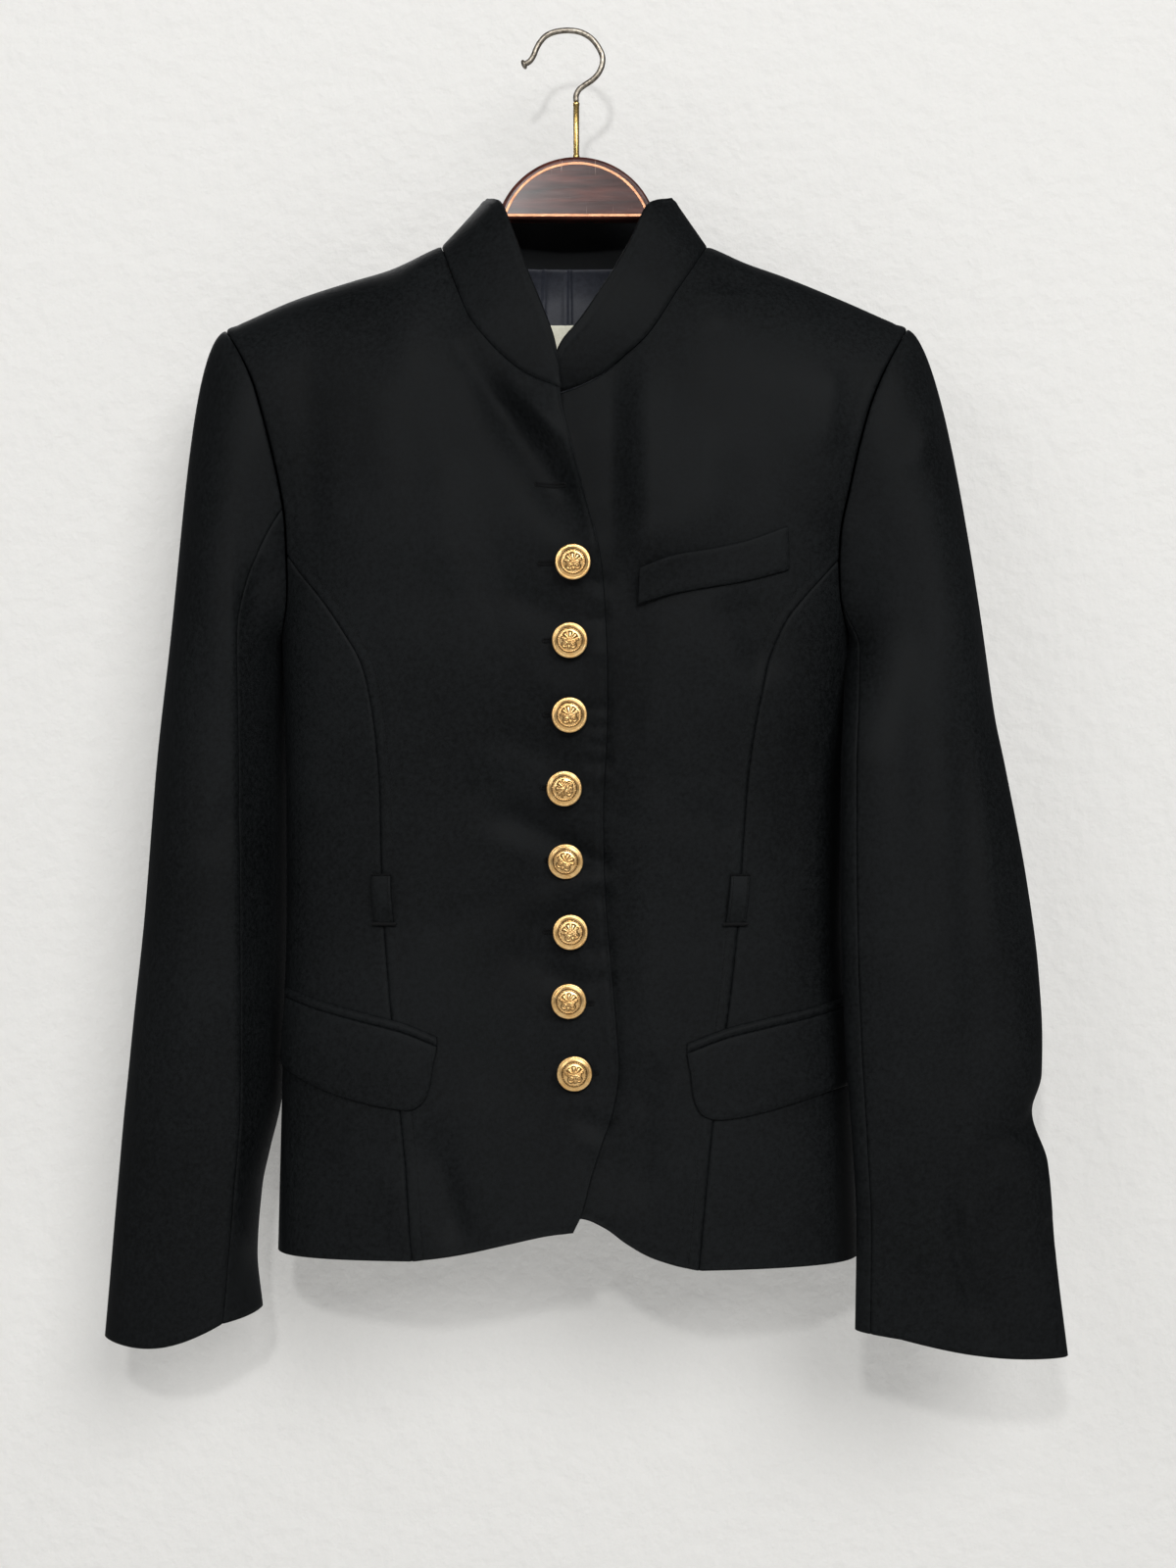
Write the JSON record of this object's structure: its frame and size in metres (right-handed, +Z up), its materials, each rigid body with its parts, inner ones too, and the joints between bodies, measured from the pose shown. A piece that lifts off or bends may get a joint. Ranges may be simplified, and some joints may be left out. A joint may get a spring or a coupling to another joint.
{
  "type": "military-style blazer on a hanger",
  "caption": "Black stand-collar blazer in military style with domed gold buttons, flap pockets, a chest welt and belt loops, hung on a wooden hanger with a steel hook.",
  "frame": {"origin": "top of the inside curve of the hanger's hook, where the peg carries it", "axes": "+Z up; the front faces -Y; +X towards the wearer's left sleeve"},
  "size_m": [0.5754, 0.1297, 0.7996],
  "materials": {
    "black_cloth": "fine black wool twill, matt with a faint sheen",
    "navy_lining": "smooth navy lining twill, soft sheen",
    "label_cloth": "bare cream woven tape, matt",
    "button_gold": "gold-plated metal, satin with worn highlights and dark recesses",
    "hanger_wood": "dark mahogany, satin varnish, thin copper inlay line",
    "stem_brass": "bright brass rod",
    "hook_steel": "aged nickel-plated steel, slightly mottled"
  },
  "bodies": {
    "root": {"front_right": "black_cloth", "front_left": "black_cloth", "side_front_right": "black_cloth", "side_front_left": "black_cloth", "back_right": "black_cloth", "back_left": "black_cloth", "sleeve_right_top": "black_cloth", "sleeve_right_under": "black_cloth", "sleeve_left_top": "black_cloth", "sleeve_left_under": "black_cloth", "collar": "black_cloth", "pocket_flap_right": "black_cloth", "pocket_flap_left": "black_cloth", "flap_welt_right": "black_cloth", "flap_welt_left": "black_cloth", "belt_loop_right": "black_cloth", "belt_loop_left": "black_cloth", "chest_welt": "black_cloth", "neck_lining": "navy_lining", "neck_label": "label_cloth", "button_1": "button_gold", "button_2": "button_gold", "button_3": "button_gold", "button_4": "button_gold", "button_5": "button_gold", "button_6": "button_gold", "button_7": "button_gold", "button_8": "button_gold", "hanger_wood": "hanger_wood", "hanger_stem": "stem_brass", "hanger_hook": "hook_steel"}
  },
  "joints": []
}
